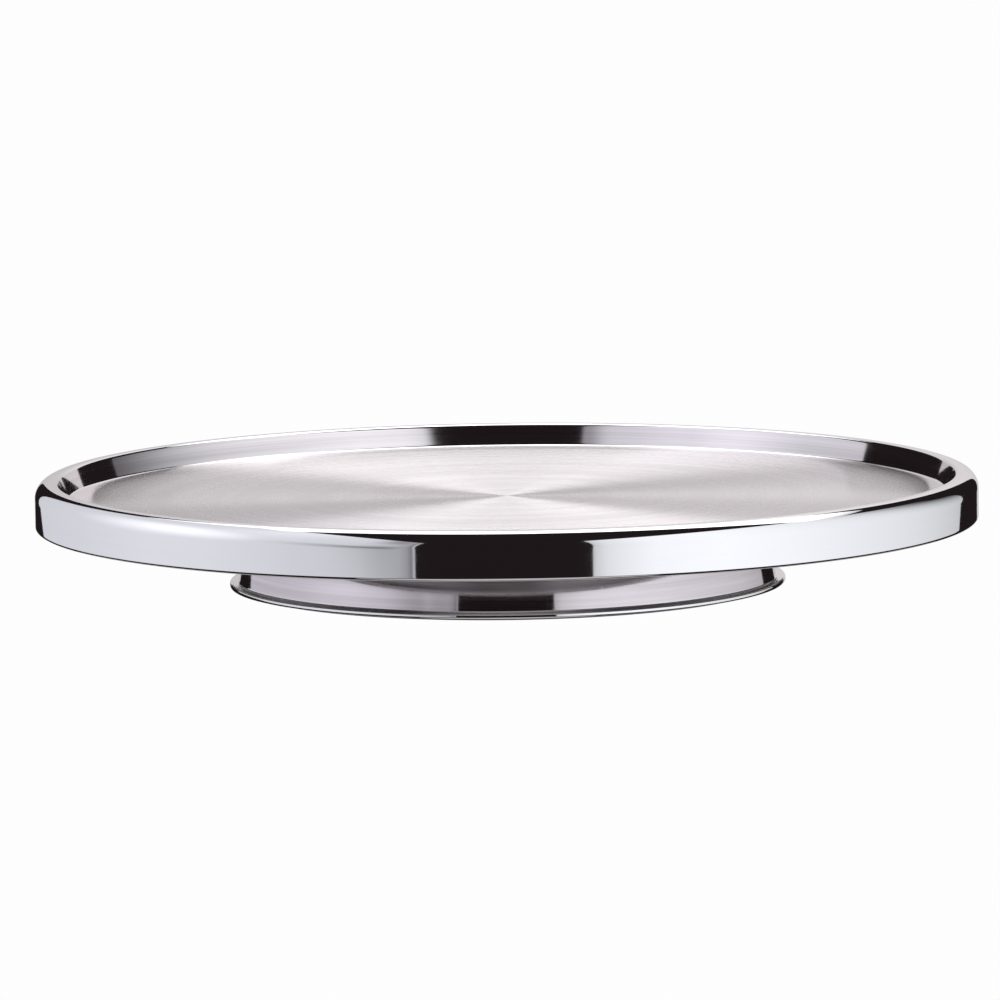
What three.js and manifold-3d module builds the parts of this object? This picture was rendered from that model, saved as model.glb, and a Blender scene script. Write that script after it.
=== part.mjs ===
// Cake turntable: a shallow stainless tray with a rolled rim that turns on a low spun base.
// A thrust ball bearing of two grooved plates, held together by one rivet, lies between them.
// Millimetres, +Z up. The origin is on the turning axis, on the surface that the rubber ring stands on.
import * as THREE from "three";
import { mergeVertices } from "three/addons/utils/BufferGeometryUtils.js";
import Module from "manifold-3d";

const wasm = await Module();
wasm.setup();

// ---- Driving dimensions ----
const size = {
  tray: {
    diameter: 305,
    sheet: 1.0,
    rimRise: 7.2, // crown of the rim above the floor of the tray
    skirtDepth: 15.1, // crown of the rim down to the folded edge of the skirt
    rimWidth: 7.55, // inner wall to skirt, across the crown
    crownOuterRadius: 5.2,
    crownInnerRadius: 1.3,
    innerDraft: 20, // degrees that the inner wall leans outwards
    floorFillet: 0.8,
    hemHeight: 4.0, // how far the folded edge runs up inside the skirt
  },
  base: {
    diameter: 180,
    height: 17.0, // underside of the lip to the deck
    sheet: 0.8,
    lipWidth: 3.0, // how far the lip stands out from the foot of the wall
    wallTaper: 9.5, // degrees that the wall leans in towards the deck
    lipFillet: 0.7,
    shoulderRadius: 3.0,
    deckHoleRadius: 9.0,
  },
  ring: { proud: 0.8, height: 8.0, width: 3.4 },
  bearing: {
    ballDiameter: 5.5,
    ballCount: 16,
    trackRadius: 46,
    plateThickness: 2.0,
    grooveDepth: 0.75,
    lowerRadius: 60,
    upperRadius: 72,
    cageThickness: 1.6,
    cageMargin: 3.2, // cage left on each side of the pockets
  },
  backing: { radius: 80, thickness: 2.0, windowRadius: 10 },
  pivot: {
    shankRadius: 4.0,
    lowerHeadRadius: 7.0,
    lowerHeadHeight: 1.2,
    upperHeadRadius: 6.5,
    bushWall: 1.4,
    bushFlangeRadius: 7.5,
    bushFlange: 0.6,
  },
  screw: {
    radius: 2.0,
    headRadius: 3.8,
    headHeight: 2.4,
    rimHeight: 1.1,
    recessWidth: 0.9,
    recessLength: 4.4,
    recessDepth: 1.3,
    count: 4,
    lowerCircle: 28, // radius of the circle that the lower screws stand on
    upperCircle: 66,
  },
};

// ---- Clearances ----
const gap = {
  seat: 0.02, // between flat faces that are screwed, welded or glued together
  ball: 0.05, // ball to the bottom of its groove
  groove: 0.15, // groove radius over ball radius
  pocket: 0.25, // ball to the side of its pocket
  running: 0.06, // bush on the rivet
  axialPlay: 0.05, // bush flange under the rivet head
  press: 0.03, // bush in the upper plate, rivet in the lower one
  thread: 0.08, // screw in a tapped hole
  screw: 0.25, // screw in a plain hole
  headroom: 0.25, // rivet head under the tray
  tip: 0.4, // screw tip short of the face that it must not mark
  ring: 0.05, // rubber ring to the base wall
};

// ---- Heights, built up from the table ----
const level = {};
level.lip = size.ring.proud;
level.lipTop = level.lip + 2 * size.base.sheet;
level.deck = level.lip + size.base.height;
level.lowerPlate = level.deck + gap.seat;
level.lowerTrack = level.lowerPlate + size.bearing.plateThickness;
level.upperTrack = level.lowerTrack + size.bearing.ballDiameter - 2 * size.bearing.grooveDepth;
level.balls = (level.lowerTrack + level.upperTrack) / 2;
level.upperPlate = level.upperTrack + size.bearing.plateThickness;
level.backing = level.upperPlate + gap.seat;
level.backingTop = level.backing + size.backing.thickness;
level.trayUnder = level.backingTop + gap.seat;
level.floor = level.trayUnder + size.tray.sheet;
level.crown = level.floor + size.tray.rimRise;
level.skirt = level.crown - size.tray.skirtDepth;

// ---- Resolution ----
const SPUN_STEPS = 64;
const SMALL_STEPS = 24;
const HOLE_STEPS = 16;

// ---- Finishes ----
function finish(colour, roughness, metalness) {
  return new THREE.MeshStandardMaterial({ color: colour, roughness, metalness });
}
const polishedSteel = finish(0xd6d8dc, 0.08, 1);
const brushedSteel = finish(0xc9c7c6, 0.3, 1);
const platedSteel = finish(0xb9bcc0, 0.4, 1);
const ballSteel = finish(0xe2e4e8, 0.05, 1);
const nylon = finish(0xeceae2, 0.5, 0);
const rubber = finish(0x1d1d1f, 0.8, 0);

// ---- Geometry helpers ----
const radians = THREE.MathUtils.degToRad;

// Points of a circular arc in the radius-height plane, from one angle to the other, ends included.
function arc(centreR, centreZ, radius, fromDegrees, toDegrees, steps) {
  return Array.from({ length: steps + 1 }, (_, i) => {
    const angle = radians(fromDegrees + ((toDegrees - fromDegrees) * i) / steps);
    return [centreR + radius * Math.cos(angle), centreZ + radius * Math.sin(angle)];
  });
}

// A body of revolution about Z. A profile off the axis is closed by repeating its first point.
function spun(profile, steps = SPUN_STEPS) {
  const onAxis = profile[0][0] === 0 && profile[profile.length - 1][0] === 0;
  const closed = onAxis ? profile : [...profile, profile[0]];
  const points = closed.map(([r, z]) => new THREE.Vector2(r, z));
  return new THREE.LatheGeometry(points, steps).rotateX(Math.PI / 2);
}

function solidOf(geometry) {
  const bare = geometry.clone();
  bare.deleteAttribute("normal");
  bare.deleteAttribute("uv");
  const merged = mergeVertices(bare, 1e-4);
  return new wasm.Manifold(
    new wasm.Mesh({
      numProp: 3,
      vertProperties: merged.attributes.position.array,
      triVerts: new Uint32Array(merged.index.array),
    }),
  );
}

function geometryOf(solid) {
  const mesh = solid.getMesh();
  const geometry = new THREE.BufferGeometry();
  geometry.setAttribute("position", new THREE.BufferAttribute(mesh.vertProperties, 3));
  geometry.setIndex(new THREE.BufferAttribute(mesh.triVerts, 1));
  geometry.computeVertexNormals();
  return geometry;
}

function cut(body, tools) {
  return geometryOf(tools.reduce((left, tool) => left.subtract(solidOf(tool)), solidOf(body)));
}

// Upright cylinders that run past both heights, one at each place of a circle of places.
function drills(places, radius, lowZ, highZ) {
  const past = 1;
  const length = highZ - lowZ + 2 * past;
  return places.map(({ x, y }) =>
    new THREE.CylinderGeometry(radius, radius, length, HOLE_STEPS)
      .rotateX(Math.PI / 2)
      .translate(x, y, (lowZ + highZ) / 2),
  );
}

// Equally spaced places on a circle about the turning axis.
function circleOfPlaces(count, radius, startDegrees) {
  return Array.from({ length: count }, (_, i) => {
    const angle = radians(startDegrees) + (2 * Math.PI * i) / count;
    return { x: radius * Math.cos(angle), y: radius * Math.sin(angle), angle };
  });
}

const lowerScrewPlaces = circleOfPlaces(size.screw.count, size.screw.lowerCircle, 45);
const upperScrewPlaces = circleOfPlaces(size.screw.count, size.screw.upperCircle, 0);
const ballPlaces = circleOfPlaces(size.bearing.ballCount, size.bearing.trackRadius, 0);

// ---- Tray ----
// One spun sheet: floor, inner wall, crown, skirt and the edge folded up inside the skirt.
// Both faces of the sheet share their arc centres, so the wall thickness is even.
function trayGeometry() {
  const t = size.tray.sheet;
  const outer = size.tray.diameter / 2;
  const draft = size.tray.innerDraft;
  const lean = Math.tan(radians(draft));
  const ci = {
    r: outer - size.tray.rimWidth + size.tray.crownInnerRadius,
    z: level.crown - size.tray.crownInnerRadius,
  };
  const co = { r: outer - size.tray.crownOuterRadius, z: level.crown - size.tray.crownOuterRadius };
  const wallTop = {
    r: ci.r - size.tray.crownInnerRadius * Math.cos(radians(draft)),
    z: ci.z + size.tray.crownInnerRadius * Math.sin(radians(draft)),
  };
  const fillet = { z: level.floor + size.tray.floorFillet };
  const wallFootZ = fillet.z - size.tray.floorFillet * Math.sin(radians(draft));
  const wallFootR = wallTop.r - lean * (wallTop.z - wallFootZ);
  fillet.r = wallFootR - size.tray.floorFillet * Math.cos(radians(draft));
  const hem = { r: outer - t, z: level.skirt + t };
  const upperFace = [
    [0, level.floor],
    ...arc(fillet.r, fillet.z, size.tray.floorFillet, -90, -draft, 4),
    ...arc(ci.r, ci.z, size.tray.crownInnerRadius, 180 - draft, 90, 4),
    ...arc(co.r, co.z, size.tray.crownOuterRadius, 90, 0, 5),
  ];
  const foldedEdge = [
    ...arc(hem.r, hem.z, t, 0, -180, 4),
    [outer - 2 * t, level.skirt + size.tray.hemHeight],
    [outer - t, level.skirt + size.tray.hemHeight],
  ];
  const lowerFace = [
    ...arc(co.r, co.z, size.tray.crownOuterRadius - t, 0, 90, 3),
    ...arc(ci.r, ci.z, size.tray.crownInnerRadius - t, 90, 180 - draft, 2),
    ...arc(fillet.r, fillet.z, size.tray.floorFillet + t, -draft, -90, 3),
    [0, level.trayUnder],
  ];
  return spun([...upperFace, ...foldedEdge, ...lowerFace].reverse());
}

// A flat steel disc welded under the tray floor. It takes the threads of the upper screws.
function backingPlateGeometry() {
  const { radius, windowRadius } = size.backing;
  const disc = spun([
    [windowRadius, level.backing],
    [radius, level.backing],
    [radius, level.backingTop],
    [windowRadius, level.backingTop],
  ]);
  const tapped = size.screw.radius + gap.thread;
  return cut(disc, drills(upperScrewPlaces, tapped, level.backing, level.backingTop));
}

// ---- Bearing ----
// Section of a bearing plate with its ball groove. The groove opens towards the balls.
function grooveArc(facesUp) {
  const ballRadius = size.bearing.ballDiameter / 2;
  const radius = ballRadius + gap.groove;
  const side = facesUp ? -1 : 1;
  const bottom = level.balls + side * (ballRadius + gap.ball);
  const centreZ = bottom - side * radius;
  const face = facesUp ? level.lowerTrack : level.upperTrack;
  const halfAngle = THREE.MathUtils.radToDeg(Math.acos(Math.abs(face - centreZ) / radius));
  const middle = side * 90;
  return arc(size.bearing.trackRadius, centreZ, radius, middle - halfAngle, middle + halfAngle, 5);
}

function lowerPlateGeometry() {
  const bore = size.pivot.shankRadius + gap.press;
  const plate = spun([
    [bore, level.lowerPlate],
    [size.bearing.lowerRadius, level.lowerPlate],
    [size.bearing.lowerRadius, level.lowerTrack],
    ...grooveArc(true).reverse(),
    [bore, level.lowerTrack],
  ]);
  const tapped = size.screw.radius + gap.thread;
  return cut(plate, drills(lowerScrewPlaces, tapped, level.lowerPlate, level.lowerTrack));
}

function upperPlateGeometry() {
  const bore = size.pivot.shankRadius + gap.running + size.pivot.bushWall + gap.press;
  const plate = spun([
    [bore, level.upperTrack],
    ...grooveArc(false).reverse(),
    [size.bearing.upperRadius, level.upperTrack],
    [size.bearing.upperRadius, level.upperPlate],
    [bore, level.upperPlate],
  ]);
  const plain = size.screw.radius + gap.screw;
  return cut(plate, drills(upperScrewPlaces, plain, level.upperTrack, level.upperPlate));
}

// A flat nylon ring with one round pocket for each ball. It turns at half the speed of the tray.
function cageGeometry() {
  const halfWidth = size.bearing.ballDiameter / 2 + gap.pocket + size.bearing.cageMargin;
  const low = level.balls - size.bearing.cageThickness / 2;
  const high = level.balls + size.bearing.cageThickness / 2;
  const inner = size.bearing.trackRadius - halfWidth;
  const outer = size.bearing.trackRadius + halfWidth;
  const ring = spun([[inner, low], [outer, low], [outer, high], [inner, high]]);
  return cut(ring, drills(ballPlaces, size.bearing.ballDiameter / 2 + gap.pocket, low, high));
}

function ballGeometry() {
  return new THREE.SphereGeometry(size.bearing.ballDiameter / 2, 12, 6).rotateX(Math.PI / 2);
}

// ---- Pivot ----
// The rivet is closed on the lower plate. Its upper head keeps the bush, and so the tray, down.
const bushTop = level.upperPlate + gap.seat + size.pivot.bushFlange;
const rivetHead = {
  low: bushTop + gap.axialPlay,
  high: level.backingTop - gap.headroom,
};

function rivetGeometry() {
  const { shankRadius, lowerHeadRadius, upperHeadRadius } = size.pivot;
  const under = level.lowerPlate - gap.seat;
  return spun(
    [
      [0, under - size.pivot.lowerHeadHeight],
      [lowerHeadRadius * 0.8, under - size.pivot.lowerHeadHeight],
      [lowerHeadRadius, under - size.pivot.lowerHeadHeight / 2],
      [lowerHeadRadius, under],
      [shankRadius, under],
      [shankRadius, rivetHead.low],
      [upperHeadRadius, rivetHead.low],
      [upperHeadRadius, (rivetHead.low + rivetHead.high) / 2],
      [upperHeadRadius * 0.8, rivetHead.high],
      [0, rivetHead.high],
    ],
    SMALL_STEPS,
  );
}

function bushGeometry() {
  const inner = size.pivot.shankRadius + gap.running;
  const outer = inner + size.pivot.bushWall;
  return spun(
    [
      [inner, level.upperTrack],
      [outer, level.upperTrack],
      [outer, level.upperPlate + gap.seat],
      [size.pivot.bushFlangeRadius, level.upperPlate + gap.seat],
      [size.pivot.bushFlangeRadius, bushTop],
      [inner, bushTop],
    ],
    SMALL_STEPS,
  );
}

// ---- Screws ----
// Pan head below z = 0 with a cross recess, shank above it.
function screwGeometry(length) {
  const { radius, headRadius, headHeight, rimHeight, recessWidth, recessLength, recessDepth } = size.screw;
  const chamfer = 0.4;
  const body = spun(
    [
      [0, -headHeight],
      [headRadius * 0.6, -headHeight],
      [headRadius * 0.92, -(headHeight + rimHeight) / 2],
      [headRadius, -rimHeight],
      [headRadius, 0],
      [radius, 0],
      [radius, length - chamfer],
      [radius - chamfer, length],
      [0, length],
    ],
    HOLE_STEPS,
  );
  const past = 1;
  const slot = [recessLength, recessWidth, recessDepth + past];
  const arms = [slot, [slot[1], slot[0], slot[2]]].map(([x, y, z]) =>
    new THREE.BoxGeometry(x, y, z).translate(0, 0, -headHeight + recessDepth - z / 2),
  );
  return cut(body, arms);
}

// ---- Base ----
const wallLean = Math.tan(radians(size.base.wallTaper));
const wallFootRadius = size.base.diameter / 2 - size.base.lipWidth;

// Radius of the outer face of the base wall at a height.
function wallRadius(z) {
  return wallFootRadius - wallLean * (z - level.lipTop);
}

// One spun sheet: deck, shoulder, leaning wall, and a lip whose edge is folded back under itself.
function baseShellGeometry() {
  const t = size.base.sheet;
  const outer = size.base.diameter / 2;
  const taper = size.base.wallTaper;
  const sin = Math.sin(radians(taper));
  const cos = Math.cos(radians(taper));
  const { lipFillet, shoulderRadius, deckHoleRadius } = size.base;
  const shoulder = { z: level.deck - shoulderRadius };
  const shoulderFootZ = shoulder.z + shoulderRadius * sin;
  shoulder.r = wallRadius(shoulderFootZ) - shoulderRadius * cos;
  const fillet = { z: level.lipTop + lipFillet };
  fillet.r = wallRadius(fillet.z - lipFillet * sin) + lipFillet * cos;
  const outerFace = [
    [deckHoleRadius, level.deck],
    ...arc(shoulder.r, shoulder.z, shoulderRadius, 90, taper, 3),
    ...arc(fillet.r, fillet.z, lipFillet, 180 + taper, 270, 3),
    ...arc(outer - t, level.lip + t, t, 90, -90, 4),
  ];
  const innerFace = [
    [fillet.r, level.lip],
    ...arc(fillet.r, fillet.z, lipFillet + t, 270, 180 + taper, 3),
    ...arc(shoulder.r, shoulder.z, shoulderRadius - t, taper, 90, 3),
    [deckHoleRadius, level.deck - t],
  ];
  const shell = spun([...outerFace, ...innerFace].reverse());
  const plain = size.screw.radius + gap.screw;
  return cut(shell, drills(lowerScrewPlaces, plain, level.deck - t, level.deck));
}

// A rubber band glued inside the wall. It stands a little below the steel lip.
function ringGeometry() {
  const inset = size.base.sheet / Math.cos(radians(size.base.wallTaper)) + gap.ring;
  const bend = level.lipTop + size.base.lipFillet;
  const outer = wallRadius(bend) - inset;
  const inner = outer - size.ring.width;
  const outerTop = wallRadius(size.ring.height) - inset;
  return spun([
    [inner, 0],
    [outer, 0],
    [outer, bend],
    [outerTop, size.ring.height],
    [inner, size.ring.height],
  ]);
}

// ---- Assembly ----
const turntable = new THREE.Group();

function add(name, geometry, material, place = { x: 0, y: 0, z: 0 }, turn = 0) {
  const mesh = new THREE.Mesh(geometry, material);
  mesh.name = name;
  mesh.position.set(place.x, place.y, place.z);
  mesh.rotation.z = turn;
  turntable.add(mesh);
}

add("tray", trayGeometry(), polishedSteel);
add("backing_plate", backingPlateGeometry(), platedSteel);
add("upper_bearing_plate", upperPlateGeometry(), platedSteel);
add("pivot_bush", bushGeometry(), nylon);
add("ball_cage", cageGeometry(), nylon);
add("lower_bearing_plate", lowerPlateGeometry(), platedSteel);
add("pivot_rivet", rivetGeometry(), platedSteel);
add("base_shell", baseShellGeometry(), brushedSteel);
add("non_slip_ring", ringGeometry(), rubber);

const upperLength = size.bearing.plateThickness + size.backing.thickness - gap.tip;
const lowerLength = size.base.sheet + size.bearing.plateThickness;
upperScrewPlaces.forEach(({ x, y, angle }, i) => {
  const place = { x, y, z: level.upperTrack - gap.seat };
  add(`upper_screw_${i + 1}`, screwGeometry(upperLength), platedSteel, place, angle);
});
lowerScrewPlaces.forEach(({ x, y, angle }, i) => {
  const place = { x, y, z: level.deck - size.base.sheet - gap.seat };
  add(`lower_screw_${i + 1}`, screwGeometry(lowerLength), platedSteel, place, angle);
});
ballPlaces.forEach(({ x, y, angle }, i) => {
  add(`ball_${i + 1}`, ballGeometry(), ballSteel, { x, y, z: level.balls }, angle);
});

export default turntable;
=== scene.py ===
"""Cake turntable in stainless steel: a shallow spun tray with a rolled rim turns on a low flared base.

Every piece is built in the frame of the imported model: the turning axis is Z and the table is at z = 0. Sizes of
the pieces are in millimetres, as a metal spinner would give them, and those of the studio are in metres.
"""

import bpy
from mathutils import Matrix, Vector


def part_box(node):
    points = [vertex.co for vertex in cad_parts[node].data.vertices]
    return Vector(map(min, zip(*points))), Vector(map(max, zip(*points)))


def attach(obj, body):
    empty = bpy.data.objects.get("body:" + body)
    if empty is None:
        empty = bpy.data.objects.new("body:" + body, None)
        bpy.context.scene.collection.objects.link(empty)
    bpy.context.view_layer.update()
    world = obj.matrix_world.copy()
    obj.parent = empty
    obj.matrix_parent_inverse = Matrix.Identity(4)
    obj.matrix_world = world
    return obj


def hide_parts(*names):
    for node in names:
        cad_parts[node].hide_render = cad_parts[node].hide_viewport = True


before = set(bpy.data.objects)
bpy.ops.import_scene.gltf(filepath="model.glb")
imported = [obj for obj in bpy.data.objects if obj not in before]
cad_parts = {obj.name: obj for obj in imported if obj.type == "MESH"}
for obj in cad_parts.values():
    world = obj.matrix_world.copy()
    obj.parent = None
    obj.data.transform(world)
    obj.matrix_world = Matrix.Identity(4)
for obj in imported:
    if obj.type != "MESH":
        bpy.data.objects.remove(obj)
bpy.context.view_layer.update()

import logging
import math
from collections.abc import Sequence
from dataclasses import dataclass
from enum import Enum

import bpy
import numpy as np
from mathutils import Matrix, Vector

log = logging.getLogger("cake_turntable")

MM = 0.001
CLOSE = 1e-6
Piece = bpy.types.Object
Material = bpy.types.Material
Tree = bpy.types.NodeTree
Node = bpy.types.Node
Socket = bpy.types.NodeSocket
Pair = tuple[float, float]
Rows = np.ndarray
Colour = tuple[float, float, float]
Point = tuple[float, float, float]
Value = Socket | float | tuple[float, ...]


# ---- sections and surfaces


def arc(centre: Pair, radius: float, start: float, stop: float, steps: int) -> Rows:
    """Points of a circular arc: centre + radius * (cos a, sin a), with a evenly spaced.

    Args:
        centre: Its centre.
        radius: Radius of the arc.
        start: First angle in degrees.
        stop: Last angle in degrees.
        steps: Straight steps.

    Returns:
        (radius, height) rows.
    """
    angles = np.radians(np.linspace(start, stop, steps + 1))
    return np.stack([centre[0] + radius * np.cos(angles), centre[1] + radius * np.sin(angles)], axis=1)


def run(first: Pair, last: Pair, steps: int) -> Rows:
    """Points of a straight line: first + t * (last - first), with t evenly from 0 to 1.

    Args:
        first: Its start.
        last: Its end.
        steps: Equal steps.

    Returns:
        (radius, height) rows.
    """
    t = np.linspace(0.0, 1.0, steps + 1)[:, None]
    return np.array(first) * (1 - t) + np.array(last) * t


def chain(*parts: Rows) -> Rows:
    """Joins runs of points end to end and drops a point that repeats the one before it.

    Args:
        *parts: Runs of (radius, height) rows.

    Returns:
        (radius, height) rows.
    """
    points = np.concatenate(parts)
    step = np.linalg.norm(np.diff(points, axis=0), axis=1)
    return points[np.concatenate([[True], step > CLOSE])]


def eased(corners: Sequence[Pair], radius: float, steps: int = 4) -> Rows:
    """A closed outline with rounded corners.

    A corner c with unit directions p and q to its neighbours becomes
    (1-t)^2 (c + radius p) + 2 t (1-t) c + t^2 (c + radius q), with t from 0 to 1.

    Args:
        corners: (radius, height) of each corner, in order.
        radius: How far the rounding reaches along each side.
        steps: Straight steps in each rounded corner.

    Returns:
        (radius, height) rows.
    """
    c = np.array(corners, float)
    before, after = np.roll(c, 1, axis=0) - c, np.roll(c, -1, axis=0) - c
    p = before / np.linalg.norm(before, axis=1)[:, None]
    q = after / np.linalg.norm(after, axis=1)[:, None]
    t = np.linspace(0.0, 1.0, steps + 1)[None, :, None]
    curve = (1 - t) ** 2 * (c + radius * p)[:, None] + 2 * t * (1 - t) * c[:, None] + t**2 * (c + radius * q)[:, None]
    return chain(curve.reshape(-1, 2))


def spin(name: str, section: Rows, steps: int, bands: Rows | None = None) -> Piece:
    """A closed solid of revolution: point (r, z) goes to (r cos a, r sin a, z), a evenly round the axis.

    The section may run either way, and its last point joins its first. A point on the axis becomes one pole, and
    two of them in a row leave no face between them.

    Args:
        name: Its name.
        section: (radius, height) rows in millimetres.
        steps: Steps round the axis.
        bands: Material index of the strip that starts at each point, or None for 0.

    Returns:
        The new object.
    """
    rows = len(section)
    following = np.roll(section, -1, axis=0)
    area = np.sum(section[:, 0] * following[:, 1] - following[:, 0] * section[:, 1])
    angles = 2 * np.pi * np.arange(steps) / steps
    ring = np.stack([np.cos(angles), np.sin(angles), np.ones(steps)], axis=1)
    points = section[:, [0, 0, 1]][:, None] * ring[None] * MM
    on_axis = section[:, 0] < CLOSE
    index = np.arange(rows * steps).reshape(rows, steps)
    index[on_axis] = index[on_axis][:, :1]
    low, high = index, np.roll(index, -1, axis=0)
    corners = [low, high, np.roll(high, -1, axis=1), np.roll(low, -1, axis=1)]
    quads = np.stack(corners if area < 0 else corners[::-1], axis=-1)
    keep = ~(on_axis & np.roll(on_axis, -1))
    used, compact = np.unique(quads[keep], return_inverse=True)
    faces = [list(dict.fromkeys(quad)) for quad in compact.reshape(-1, 4).tolist()]
    obj = surface(name, points.reshape(-1, 3)[used], faces)
    if bands is not None:
        obj.data.polygons.foreach_set("material_index", np.repeat(bands[keep], steps))
    return obj


def surface(name: str, points: Rows, faces: list[list[int]]) -> Piece:
    """Puts points and faces into a new mesh object with smooth faces.

    Args:
        name: Its name.
        points: Rows of x, y and z in metres.
        faces: Point indices of each face.

    Returns:
        The new object.
    """
    mesh = bpy.data.meshes.new(name)
    mesh.from_pydata(points.tolist(), [], faces)
    mesh.validate()
    mesh.polygons.foreach_set("use_smooth", np.ones(len(mesh.polygons), bool))
    obj = bpy.data.objects.new(name, mesh)
    bpy.context.scene.collection.objects.link(obj)
    return obj


def prisms(name: str, low: Rows, high: Rows, places: Rows) -> Piece:
    """Upright prisms, one at each place: side face i joins low[i], low[i+1], high[i+1] and high[i].

    Args:
        name: Its name.
        low: x, y, z rows of the lower outline, counter-clockwise from above.
        high: Those of the upper outline, point for point.
        places: x, y and turn of each prism.

    Returns:
        One object that holds all the prisms.
    """
    n = len(low)
    both = np.concatenate([low, high])
    cos, sin = np.cos(places[:, 2])[:, None], np.sin(places[:, 2])[:, None]
    x = places[:, :1] + cos * both[:, 0] - sin * both[:, 1]
    y = places[:, 1:2] + sin * both[:, 0] + cos * both[:, 1]
    z = np.broadcast_to(both[:, 2], x.shape)
    points = np.stack([x, y, z], axis=-1).reshape(-1, 3) * MM
    ring = np.arange(n)
    side = np.stack([ring, np.roll(ring, -1), np.roll(ring, -1) + n, ring + n], axis=1)
    faces = [
        (face + shift).tolist()
        for shift in range(0, 2 * n * len(places), 2 * n)
        for face in (*side, ring[::-1], ring + n)
    ]
    return surface(name, points, faces)


def drills(places: Rows, radius: float, low: float, high: float, steps: int = 40) -> Piece:
    """Round tools that run a little past both heights: points radius * (cos a, sin a) at each place.

    Args:
        places: x, y and turn of each tool.
        radius: Radius of the hole.
        low: Lower face of the drilled piece.
        high: Its upper face.
        steps: Sides of each tool.

    Returns:
        One object that holds all the tools.
    """
    past = 1.0
    outline = circle_of_places(steps, radius, 0)
    outline[:, 2] = low - past
    return prisms("drills", outline, outline + [0, 0, high - low + 2 * past], places)


def cut(body: Piece, tool: Piece) -> Piece:
    """Takes the tool out of the body for good, and removes the tool.

    Args:
        body: The piece that is cut.
        tool: The closed shape that is taken away.

    Returns:
        The body.
    """
    knife = body.modifiers.new("cut", "BOOLEAN")
    knife.operation, knife.solver, knife.object = "DIFFERENCE", "EXACT", tool
    evaluated = body.evaluated_get(bpy.context.evaluated_depsgraph_get())
    mesh = bpy.data.meshes.new_from_object(evaluated)
    body.modifiers.clear()
    body.data = mesh
    bpy.data.objects.remove(tool)
    return body


def circle_of_places(count: int, radius: float, start: float) -> Rows:
    """Even places on a circle: radius * (cos a, sin a) and the turn a.

    Args:
        count: Number of places.
        radius: Radius of the circle.
        start: Angle of the first place in degrees.

    Returns:
        Rows of x, y and turn, the turn in radians.
    """
    turn = np.radians(start) + 2 * np.pi * np.arange(count) / count
    return np.stack([radius * np.cos(turn), radius * np.sin(turn), turn], axis=1)


def placed(obj: Piece, place: Sequence[float], height: float) -> Piece:
    """Turns and moves a mesh inside its object, which stays at the origin.

    Args:
        obj: The object.
        place: x, y and turn.
        height: Height of the place.

    Returns:
        The object.
    """
    shift = Matrix.Translation(Vector((place[0], place[1], height)) * MM)
    obj.data.transform(shift @ Matrix.Rotation(place[2], 4, "Z"))
    return obj


def heights(node: str) -> Pair:
    """Lowest and highest height of a CAD node in millimetres."""
    low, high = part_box(node)
    return low.z / MM, high.z / MM


LOWER_SCREWS = circle_of_places(4, 28.0, 45)
UPPER_SCREWS = circle_of_places(4, 66.0, 0)


# ---- shader building


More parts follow.
